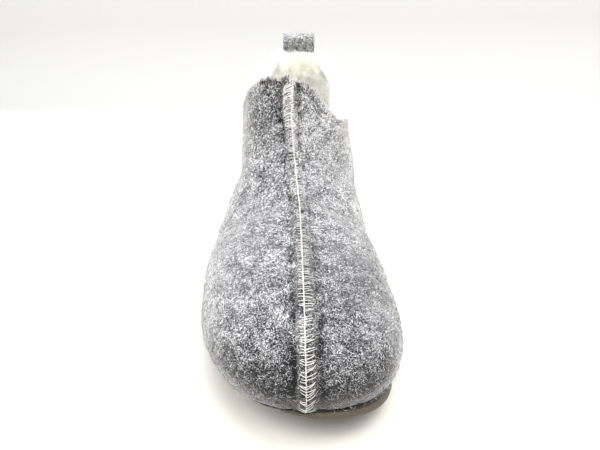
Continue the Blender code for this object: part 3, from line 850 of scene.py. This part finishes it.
while sewn < LADDER_END:
    share = sewn / SEAM_LENGTH
    at = int(share * (len(seam_path) - 1))
    step = np.interp(share, LADDER_SHARES, LADDER_PITCH) * MM * random.uniform(*STEP_SPREAD)
    sewn += step
    middle = seam_path[at] + seam_side[at] * np.interp(share, LADDER_SHARES, LADDER_SHIFT) * MM
    for side, reaches in LADDER_REACH.items():
        reach = np.interp(share, LADDER_SHARES, reaches) * MM * random.uniform(*REACH_SPREAD)
        slant = np.interp(share, LADDER_SHARES, LADDER_SLANT[side]) * reach * random.uniform(*SLANT_SPREAD)
        across = seam_side[at] * side * reach + seam_along[at] * slant
        radius = np.interp(share, LADDER_SHARES, LADDER_RADIUS) * MM * random.uniform(*RADIUS_SPREAD)
        rung = [
            on_felt(middle + across * part, radius * (1.0 - RUNG_DIP * part**RUNG_HOLD))
            for part in np.linspace(0.0, 1.0, LADDER_POINTS)
        ]
        if random.random() > MISSED:
            rungs.append(np.array(rung))
            rung_radii.append(radius)
        between = middle + seam_along[at] * step / 2
        gaps.append([on_felt(between + across * part, GAP_LIFT) for part in GAP_PARTS])
print(len(rungs), "rungs of thread")
thread_piece("seam_rungs", rungs, rung_radii)

# %% The bright line along the crown
SPINE_TWIST = 3.4 * MM  # length of one turn of the two strands
SPINE_WAVE, SPINE_ROUND = 0.13 * MM, 0.6  # sideways, and the share of it upwards
SPINE_RADIUS = (0.08, 0.09, 0.11, 0.12, 0.13, 0.12, 0.1)  # mm
SPINE_LIFT = (0.0, 0.05, 0.18, 0.12, 0.12, 0.05, 0.0)  # mm off the felt
SPINE_WANDER = 0.3 * MM  # more than the lift, so the thread is lost in the felt at places
strands = []
for phase in (0.0, np.pi):
    strand = []
    for at in range(len(seam_path)):
        turns = at * PATH_STEP / SPINE_TWIST
        turn = 2 * np.pi * turns + phase
        share = at / (len(seam_path) - 1)
        shift = np.interp(share, LADDER_SHARES, LADDER_SHIFT) * MM
        beside = seam_path[at] + seam_side[at] * (shift + SPINE_WAVE * np.sin(turn))
        lift = np.interp(share, LADDER_SHARES, SPINE_LIFT) * MM
        lift += SPINE_WANDER * noise.noise((turns, phase, 0))
        strand.append(on_felt(beside, lift + SPINE_WAVE * SPINE_ROUND * np.cos(turn)))
    strands.append(np.array(strand))
spine_radii = np.interp(np.linspace(0, 1, len(seam_path)), LADDER_SHARES, SPINE_RADIUS) * MM
thread_piece("seam_spine", strands, [spine_radii, spine_radii])

# %% Needle holes and painted shade between the threads
GAP_WIDTH, GAP_HEIGHT = 0.75 * MM, 0.12 * MM
starts, ends = np.array(gaps).transpose(1, 0, 2)
along = ends - starts
across = np.cross(along, (0.0, 0.3, 1.0))
across *= GAP_WIDTH / np.linalg.norm(across, axis=1, keepdims=True)
upward = np.cross(along, across)
upward *= -np.sign(upward[:, 1:2]) * GAP_HEIGHT / np.linalg.norm(upward, axis=1, keepdims=True)
places = np.stack([along, across, upward, starts], axis=2)
# painted shade: dark spindles at the needle holes between the rungs, standing also for the shade between the
# threads
fibre_piece("needle_holes_and_shade", places, dark_wool_and_shade)

# %% [markdown]
# ## The cut edges
# Felt and lining are sewn together with an overlock stitch: threads climb the felt, cross its cut edge and
# go down into the pile. Round the sides and the back the fleece rolls out over the edge and hides it. At the
# front peak the felt's edge stays bare. The lower edge is glued to the sole, and a thin dark line there is
# painted shade in the gap between felt and sole, and partly the glue. All of this needs each edge as an
# ordered loop of points.

# %% Walk round the collar and the lower edge
EDGE_SLOPE = 0.4  # a cut edge looks up or down at least this much


def walk_round(points):
    """The points in order along their edges, as an array that starts at the seam."""
    first = min(points, key=lambda v: (from_toe(v.co.y), abs(v.co.x - seam_x(v.co.y))))
    path = [first]
    while True:
        ahead = [edge.other_vert(path[-1]) for edge in path[-1].link_edges]
        ahead = [v for v in ahead if v in points and v not in path]
        if not ahead:
            break
        path.append(min(ahead, key=lambda v: (v.co - path[-1].co).length))
    return np.array([v.co[:] for v in path + [first]])


def cut_edge(upwards, lowest, highest):
    """(outer points, inner points, directions outwards) in even steps round one cut edge of the felt."""
    felt = merged_copy("upper")
    inside = {v for face in seen_from_inside(felt) for v in face.verts}
    faces = [face for face in felt.faces if len(inside & set(face.verts)) == 2]
    faces = [face for face in faces if face.normal.z * upwards > EDGE_SLOPE]
    corners = {v for face in faces for v in face.verts if lowest < v.co.z < highest}
    outer = resample(walk_round(corners - inside))
    tree = tree_of(resample(walk_round(corners & inside)))
    felt.free()
    inner = np.array([tree.find(point)[0][:] for point in outer])
    out = (outer - inner) / np.linalg.norm(outer - inner, axis=1, keepdims=True)
    return outer, inner, out


RIM_HEIGHTS, FOOT_HEIGHTS = (90 * MM, 200 * MM), (0, 50 * MM)
rim_outer, rim_inner, rim_out = cut_edge(1, *RIM_HEIGHTS)
foot_outer, foot_inner, foot_out = cut_edge(-1, *FOOT_HEIGHTS)
rim_middle = (rim_outer + rim_inner) / 2
rim_along = np.gradient(rim_outer, axis=0)
rim_along /= np.linalg.norm(rim_along, axis=1, keepdims=True)
rim_length, foot_length = (len(edge) * PATH_STEP / MM for edge in (rim_outer, foot_outer))
print(f"collar edge {rim_length:.0f} mm round, lower edge {foot_length:.0f} mm round")

# %% Threads over the edge
UP = np.array((0.0, 0.0, 1.0))
COLLAR_EVERY, COLLAR_RADIUS = 3, 0.13 * MM  # a thread at every third step of the edge
COLLAR_REACH, COLLAR_SLANT = (1.8, 4.6), (0.2, 1.4)  # mm
OUTER_LIFT, TOP_LIFT, INNER_LIFT = 0.12, 0.3, 0.1  # mm off the edge's outer corner, middle and inner corner
DIVE_DOWN, DIVE_IN, BESIDE = 1.2, 0.3, 2  # mm into the pile, and where the climb looks for the felt
CLIMB = ((1.0, -0.15), (0.75, 0.15), (0.45, 0.22), (0.15, 0.25))  # share of the reach, and lift in mm
random = np.random.default_rng(42)
strokes = []
for at in range(0, len(rim_outer), COLLAR_EVERY):
    outer, inner, out = rim_outer[at], rim_inner[at], rim_out[at]
    reach = random.uniform(*COLLAR_REACH) * MM
    slant = rim_along[at] * random.uniform(*COLLAR_SLANT) * MM
    beside = outer + out * BESIDE * MM
    stroke = [on_felt(beside - (UP * reach + slant) * share, lift * MM) for share, lift in CLIMB]
    stroke += [outer + (UP + out) * OUTER_LIFT * MM, rim_middle[at] + UP * TOP_LIFT * MM]
    stroke += [inner + UP * INNER_LIFT * MM, inner - UP * DIVE_DOWN * MM - out * DIVE_IN * MM]
    strokes.append(np.array(stroke))
thread_piece("collar_threads", strokes, [COLLAR_RADIUS] * len(strokes))

# %% Loose fibres of the cut edge
BARE_EDGE = 168 * MM  # the felt's edge shows up to this far from the toe
DARK_EDGE = 17 * MM  # and has dark fibres up to this far from the seam
FRINGE_LENGTH, FRINGE_THINNEST, FRINGE_TILT, FRINGE_CURL = (1.2, 3.6), 0.12, (45, 88), (0, 0.2)
FRINGE_RISE, FRINGE_OUT = 0.85, 0.5  # which way its fibres stand
FRINGE = {  # wool, seed, count, side or 0 for both, thickest and how far below the edge in mm
    "dark_fringe": (dark_wool_and_shade, 44, 210, -1, 0.34, 4.0),
    "pale_fringe": (pale_wool, 45, 900, 0, 0.24, 0.0),
}
for name, (wool, seed, count, which, thick, drop) in FRINGE.items():
    random = np.random.default_rng(seed)
    bare = from_toe(rim_outer[:, 1]) < BARE_EDGE
    if which:
        beside = which * (rim_outer[:, 0] - seam_x(rim_outer[:, 1]))
        bare &= (beside > 0) & (beside < DARK_EDGE)
    at = random.choice(np.where(bare)[0], count)
    spots = rim_outer[at] + (rim_inner - rim_outer)[at] * random.random((count, 1))
    spots -= UP * random.random((count, 1)) * drop * MM
    spots = np.array([on_felt(spot + out * drop * MM, 0.0) for spot, out in zip(spots, rim_out[at])])
    facing = UP * FRINGE_RISE + rim_out[at] * FRINGE_OUT
    width = FRINGE_THINNEST, thick
    places = lay_fibres(spots, facing, random, FRINGE_LENGTH, width, FRINGE_TILT, FRINGE_CURL)
    fibre_piece(name, places, wool)

# %% Pale fibres along the felt's lower edge
FOOT_FRINGE_COUNT, FOOT_FRINGE_UP, FOOT_FRINGE_IN = 2000, 0.9 * MM, 0.3  # inwards by up to this share
FOOT_FIBRES = (0.6, 1.3), (0.1, 0.2), (0, 40), (0, 0.3)  # ranges of length and width in mm, tilt and curl
random = np.random.default_rng(46)
at = random.integers(len(foot_outer), size=FOOT_FRINGE_COUNT)
spots = foot_outer[at] + (foot_inner - foot_outer)[at] * random.uniform(0, FOOT_FRINGE_IN, (len(at), 1))
spots += UP * FOOT_FRINGE_UP
places = lay_fibres(spots, foot_out[at], random, *FOOT_FIBRES)
fibre_piece("foot_fringe", places, pale_wool)

# %% The dark line between felt and sole
# painted shade: a dark tube in the gap between felt and sole, standing partly for the glue
DARK_LINE_RADIUS, DARK_LINE_EVERY = 0.45 * MM, 3
DARK_LINE_SHOWN, DARK_LINE_FADE = 14 * MM, 10 * MM  # further than this to the outer side it is under the felt
DARK_LINE_IN, DARK_LINE_MORE_IN = 0.1 * MM, 0.9 * MM
hidden = ease((seam_x(foot_outer[:, 1:2]) - foot_outer[:, :1] - DARK_LINE_SHOWN) / DARK_LINE_FADE)
dark_line_path = (foot_outer - foot_out * (DARK_LINE_IN + DARK_LINE_MORE_IN * hidden))[::DARK_LINE_EVERY]
new_piece("shade_and_glue_line", tubes([dark_line_path], [DARK_LINE_RADIUS]), dark_wool_and_shade)

# %% Fleece rolled over the edge
ROLL_RADIUS = 3.4 * MM
FILL_RADIUS = {-1: 3.0 * MM, 1: 3.6 * MM}  # a second tube fills the crease between roll and lining
FILL_IN, FILL_DOWN = {-1: 4.8 * MM, 1: 5.0 * MM}, {-1: 0.0, 1: 2.6 * MM}
ROLL_START = {-1: (146, 170), 1: (139, 150)}  # from the toe on each side: where the roll starts and is full
ROLL_IN, ROLL_UP = {-1: 2.4 * MM, 1: 1.0 * MM}, {-1: 2.4 * MM, 1: 0.5 * MM}
ROLL_SINK, ROLL_THINNEST, ROLL_LEAST = 3.0 * MM, 0.25, 0.02  # at its two ends
ROLL_EVERY, ROLL_ROUNDNESS = 4, 6
ROLL_LUMPS = ((4.5, 23, 0.8), (2, 24, 0.35))  # size, seed and height in mm
COLLAR_WIDTH = 50 * MM
rim_side = np.where(rim_outer[:, 0] > seam_x(rim_outer[:, 1]), 1, -1)
medial = ease(0.5 + (rim_outer[:, :1] - MIDDLE_X) / COLLAR_WIDTH)
inwards, upwards, fill_radius, fill_in, fill_down = (
    ends[-1] + medial * (ends[1] - ends[-1]) for ends in (ROLL_IN, ROLL_UP, FILL_RADIUS, FILL_IN, FILL_DOWN)
)
roll_path = rim_middle - rim_out * inwards + UP * upwards
fullness = np.zeros(len(roll_path))
for which, (start, full) in ROLL_START.items():
    share = (from_toe(rim_outer[:, 1]) / MM - start) / (full - start)
    fullness = np.where(rim_side == which, ease(share), fullness)
kept = np.where(fullness > ROLL_LEAST)[0][::ROLL_EVERY]
sunk = roll_path[kept] - UP * ((1 - fullness[kept]) * ROLL_SINK)[:, None]
filling = (rim_middle - rim_out * fill_in - UP * fill_down)[kept]
thickness = ROLL_THINNEST + (1 - ROLL_THINNEST) * fullness[kept]
roll_radii = [ROLL_RADIUS * thickness, fill_radius[kept, 0] * thickness]
roll_mesh = tubes([sunk, filling], roll_radii, ROLL_ROUNDNESS)
points, normals = points_of(roll_mesh)
put_points(roll_mesh, points + normals * lumps(points, ROLL_LUMPS)[:, None])
# painted light: the roll gets the whiter copy of the fleece, as it is lit from above
new_piece("fleece_roll", roll_mesh, lit_fleece)

# %% Pile of the roll
ROLL_PILE_COUNT = 14000
ROLL_FIBRES = (1.6, 3.6), (0.15, 0.35), (10, 70), (0.1, 0.4)  # ranges of length and width in mm, tilt and curl
random = np.random.default_rng(32)
spots, facing = scatter(roll_mesh, ROLL_PILE_COUNT, random)
places = lay_fibres(spots, facing, random, *ROLL_FIBRES)
# painted light: the roll's pile has the whiter fleece too
fibre_piece("roll_pile", places, lit_fleece)

# %% [markdown]
# ## The pull loop
# A strip of the same felt is folded over the back of the collar and sewn down on both sides. The copy of its
# solid is rounded a little at its cut edges, and it gets the felt's finish and its own few fibres. A box of
# stitches, each a short arc that dips into the felt at both ends, holds its back leg.

# %% Pull loop
LOOP_TONE = -0.07  # a little paler than the upper
LOOP_LUMPS = ((5, 51, 0.15),)  # size, seed and height in mm
LOOP_NAP_COUNT = 5000
LOOP_FIBRES = (1.2, 2.6), (0.08, 0.13), (3, 30), (0.05, 0.3)  # ranges of length and width in mm, tilt and curl
loop_mesh = refined(merged_copy("pull_loop"), 2, crease=0.15)
points, normals = points_of(loop_mesh)
loop_mesh.attributes.new("tone", "FLOAT", "POINT").data.foreach_set("value", np.full(len(points), LOOP_TONE))
put_points(loop_mesh, points + normals * lumps(points, LOOP_LUMPS)[:, None])
new_piece("felt_loop", loop_mesh, grey_felt, "pull_loop")
random = np.random.default_rng(52)
spots, facing = scatter(loop_mesh, LOOP_NAP_COUNT, random)
places = lay_fibres(spots, facing, random, *LOOP_FIBRES)
fibre_piece("loop_nap", places, pale_wool)

# %% Stitches on the loop's back leg
STITCH, STITCH_GAP, STITCH_RADIUS = 2.4 * MM, 0.9 * MM, 0.2 * MM
STITCH_ARC = ((0.0, -0.2), (0.2, 0.12), (0.5, 0.18), (0.8, 0.12), (1.0, -0.2))  # share of length, lift in mm
BOX_HALF, BOX_TOP, BOX_FOOT = 9.6 * MM, COLLAR_BACK - 5 * MM, COLLAR_BACK - 23 * MM
loop_skin = skin_of(loop_mesh)


def on_loop(x, z, lift):
    """The place on the loop's back at this x and z, lifted off it."""
    spot, facing, _, _ = loop_skin.ray_cast(Vector((x, 1.0, z)), Vector((0, -1, 0)))
    return np.array(spot + facing * lift)


corners = np.array([(-BOX_HALF, BOX_TOP), (BOX_HALF, BOX_TOP), (BOX_HALF, BOX_FOOT), (-BOX_HALF, BOX_FOOT)])
corners[:, 0] += LOOP_X
stitches = []
for start, end in zip(corners, np.roll(corners, -1, axis=0)):
    count = int(np.linalg.norm(end - start) / (STITCH + STITCH_GAP))
    share = STITCH / (STITCH + STITCH_GAP) / count
    for first in np.arange(count) / count:
        parts = [(start + (end - start) * (first + share * part), lift * MM) for part, lift in STITCH_ARC]
        stitches.append(np.array([on_loop(*spot, lift) for spot, lift in parts]))
thread_piece("loop_stitches", stitches, [STITCH_RADIUS] * len(stitches))

# %% [markdown]
# ## Sole and insole
# The sole is moulded rubber with a rounded edge, so its copy is subdivided with its sharp edges held. The
# insole is a foam sheet with fleece on top, soft at its edge.

# %% Sole and insole
sole_mesh = refined(merged_copy("outsole"), 2, crease=0.8, crease_angle=25)
new_piece("rubber_sole", sole_mesh, taupe_rubber, "outsole")
INSOLE_LUMPS = ((5, 61, 0.4),)  # size, seed and height in mm, on its upper face alone
insole_mesh = refined(merged_copy("insole"), 2, crease=0.3)
points, normals = points_of(insole_mesh)
upper_face = normals[:, 2] > 0.5
put_points(insole_mesh, points + normals * (lumps(points, INSOLE_LUMPS) * upper_face)[:, None])
fleece_insole = new_piece("fleece_insole", insole_mesh, cream_fleece, "insole")

# %% [markdown]
# ## Studio
# The shoe stands on a white sweep, a floor that curves up into a wall, under a broad soft light. The wall's
# paper is painted darker than the floor's, as painted shade. The light comes from above and behind, so the
# front of the toe is the darkest part, with painted shade low on the toe as well.

# %% Floor and backdrop
FLOOR_FRONT, WALL_Y, WALL_TOP, SWEEP_HALF = -1.6, 0.95, 1.6, 2.2
COVE = 0.25
# painted shade: the wall's paper is darker than the floor's, as less light falls on the wall
PAPER_FLOOR, PAPER_WALL_SHADE = (0.68, 0.662, 0.61, 1), (0.43, 0.43, 0.423, 1)
PAPER_CHANGE = (0.004, 0.06)  # heights between which the floor's tone becomes the wall's
sweep = bmesh.new()
edge_points = [sweep.verts.new((0, FLOOR_FRONT, 0)), sweep.verts.new((0, WALL_Y - COVE, 0))]
sweep.edges.new(edge_points)
turned = bmesh.ops.spin(
    sweep, geom=[edge_points[1]], cent=(0, WALL_Y - COVE, COVE), axis=(1, 0, 0), angle=radians(90), steps=24
)
last = [g for g in turned["geom_last"] if isinstance(g, bmesh.types.BMVert)][0]
top = sweep.verts.new((0, WALL_Y, WALL_TOP))
sweep.edges.new((last, top))
bmesh.ops.translate(sweep, verts=sweep.verts, vec=(-SWEEP_HALF, 0, 0))
wide = bmesh.ops.extrude_edge_only(sweep, edges=sweep.edges[:])
moved = [g for g in wide["geom"] if isinstance(g, bmesh.types.BMVert)]
bmesh.ops.translate(sweep, verts=moved, vec=(2 * SWEEP_HALF, 0, 0))
bmesh.ops.recalc_face_normals(sweep, faces=sweep.faces)
sweep_mesh = bpy.data.meshes.new("backdrop")
sweep.to_mesh(sweep_mesh)
sweep.free()
sweep_mesh.shade_smooth()
print("backdrop:", len(sweep_mesh.polygons), "faces")

# %% Paper of the backdrop
white_paper, paper_shader, on_paper = new_material("white_paper", 0.9)
paper_height = on_paper.node("ShaderNodeSeparateXYZ", {}, {0: on_paper}, 2)
connect(paper_shader, "Base Color", paper_height.step(*PAPER_CHANGE).mix(PAPER_FLOOR, PAPER_WALL_SHADE))
paper_shader.inputs["Specular IOR Level"].default_value = 0.0
sweep_mesh.materials.append(white_paper)
backdrop = bpy.data.objects.new("backdrop", sweep_mesh)
bpy.context.scene.collection.objects.link(backdrop)
print("paper:", len(white_paper.node_tree.nodes), "nodes")


# %% Lights
def soft_box(name, place, target, size, power):
    light = bpy.data.lights.new(name, "AREA")
    light.shape = "RECTANGLE"
    light.size, light.size_y = size
    light.energy = power
    lamp = bpy.data.objects.new(name, light)
    lamp.location = place
    lamp.rotation_euler = (Vector(target) - Vector(place)).to_track_quat("-Z", "Y").to_euler()
    bpy.context.scene.collection.objects.link(lamp)


LIGHTS = {  # place, target, size in metres and power in watts
    "top_light": ((0.2, 0.2, 1.3), (0, 0.05, 0), (1.8, 1.4), 25),
    "left_light": ((-1.1, -0.1, 0.7), (0, 0, 0.06), (0.9, 0.9), 12),
    "right_light": ((1.1, 0.4, 0.8), (0, 0, 0.06), (0.9, 0.9), 8),
    "front_light": ((0.1, -0.8, 1.2), (0, 0.1, 0.12), (1.0, 0.7), 10),
}
ROOM_LIGHT = 0.95
for name, values in LIGHTS.items():
    soft_box(name, *values)
world = bpy.data.worlds.new("studio")
world.use_nodes = True
world.node_tree.nodes["Background"].inputs["Color"].default_value = (1, 1, 1, 1)
world.node_tree.nodes["Background"].inputs["Strength"].default_value = ROOM_LIGHT
bpy.context.scene.world = world
bpy.context.scene.view_settings.view_transform = "Standard"

# %% [markdown]
# ## Camera
# The photograph was taken close up, from in front of the toe and a little above the collar, with a wide
# lens. Its place was found by fitting the shoe's own sections to the outline in the picture.

# %% Camera
CAMERA_PLACE = (7.77 * MM, -266.06 * MM, 137.05 * MM)
CAMERA_DOWN, CAMERA_HEADING, CAMERA_ROLL = 18.82, 1.24, -0.57  # degrees
CAMERA_LENS, CAMERA_SENSOR = 27.29, 36.0
camera_data = bpy.data.cameras.new("camera")
camera_data.lens = CAMERA_LENS
camera_data.sensor_width = CAMERA_SENSOR
camera_data.clip_start = 0.01
camera = bpy.data.objects.new("camera", camera_data)
turn = Matrix.Rotation(radians(CAMERA_HEADING), 4, "Z")
turn @= Matrix.Rotation(radians(90 - CAMERA_DOWN), 4, "X")
turn @= Matrix.Rotation(radians(CAMERA_ROLL), 4, "Z")
camera.matrix_world = Matrix.Translation(CAMERA_PLACE) @ turn
bpy.context.scene.collection.objects.link(camera)
bpy.context.scene.camera = camera
print("camera at", [round(c / MM, 1) for c in camera.location], "mm")
